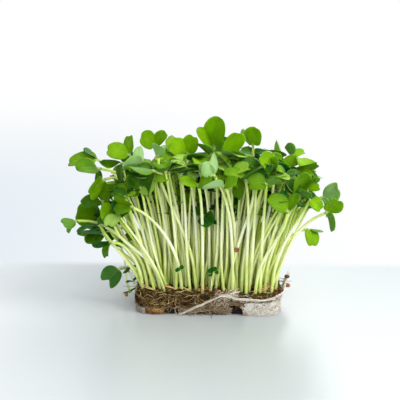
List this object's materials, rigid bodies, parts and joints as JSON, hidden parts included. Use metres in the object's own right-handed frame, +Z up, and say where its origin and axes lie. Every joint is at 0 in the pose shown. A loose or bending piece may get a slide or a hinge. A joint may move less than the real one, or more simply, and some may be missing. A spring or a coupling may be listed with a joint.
{
  "type": "radish microgreens block",
  "caption": "Block of radish microgreens lifted out of its tray: upright pale stems with green notched seed leaves on a fibre felt with a white root mat under it.",
  "frame": {"origin": "on the surface the block stands on, under the middle of the felt", "axes": "+Z up, away from the face that the feet stand on; +X along the felt's longer side; -Y the side seen from the front"},
  "size_m": [0.1746, 0.1117, 0.1203],
  "materials": {
    "plant": "satin, a little translucent",
    "felt": "coarse moist fibre",
    "roots": "matte felted roots",
    "husk": "dry seed coat"
  },
  "bodies": {
    "root": {"fibre_felt": "felt", "root_mat": "roots", "root_web": "roots", "seed_husk_01": "husk", "seed_husk_02": "husk", "seed_husk_03": "husk", "seed_husk_04": "husk", "seed_husk_05": "husk", "seed_husk_06": "husk", "seed_husk_07": "husk", "seedling_arching_left": "plant", "seedling_butterfly_right": "plant", "seedling_centre_left_pale": "plant", "seedling_centre_left_top": "plant", "seedling_curled_pale": "plant", "seedling_far_left_high": "plant", "seedling_far_left_low": "plant", "seedling_far_left_mid": "plant", "seedling_far_right": "plant", "seedling_far_right_high": "plant", "seedling_far_right_low": "plant", "seedling_folded_right": "plant", "seedling_front_centre_dark": "plant", "seedling_front_centre_left": "plant", "seedling_funnel_centre": "plant", "seedling_heart_right_top": "plant", "seedling_inner_01": "plant", "seedling_inner_02": "plant", "seedling_inner_03": "plant", "seedling_inner_04": "plant", "seedling_inner_05": "plant", "seedling_inner_06": "plant", "seedling_inner_07": "plant", "seedling_inner_08": "plant", "seedling_inner_09": "plant", "seedling_left_edge_broad": "plant", "seedling_left_flat": "plant", "seedling_left_inner_dark": "plant", "seedling_left_low_back": "plant", "seedling_left_low_dark": "plant", "seedling_left_low_front": "plant", "seedling_left_low_upright": "plant", "seedling_left_ribbed": "plant", "seedling_left_shoulder": "plant", "seedling_left_shoulder_low": "plant", "seedling_left_top": "plant", "seedling_pale_centre": "plant", "seedling_pale_centre_low": "plant", "seedling_pale_left": "plant", "seedling_right_arched_dark": "plant", "seedling_right_back_top": "plant", "seedling_right_front_low": "plant", "seedling_right_inner_low": "plant", "seedling_right_pale_top": "plant", "seedling_right_shoulder": "plant", "seedling_right_shoulder_top": "plant", "seedling_right_upright": "plant", "seedling_side_sprout": "plant", "seedling_top_centre": "plant", "seedling_top_centre_right": "plant"}
  },
  "joints": []
}
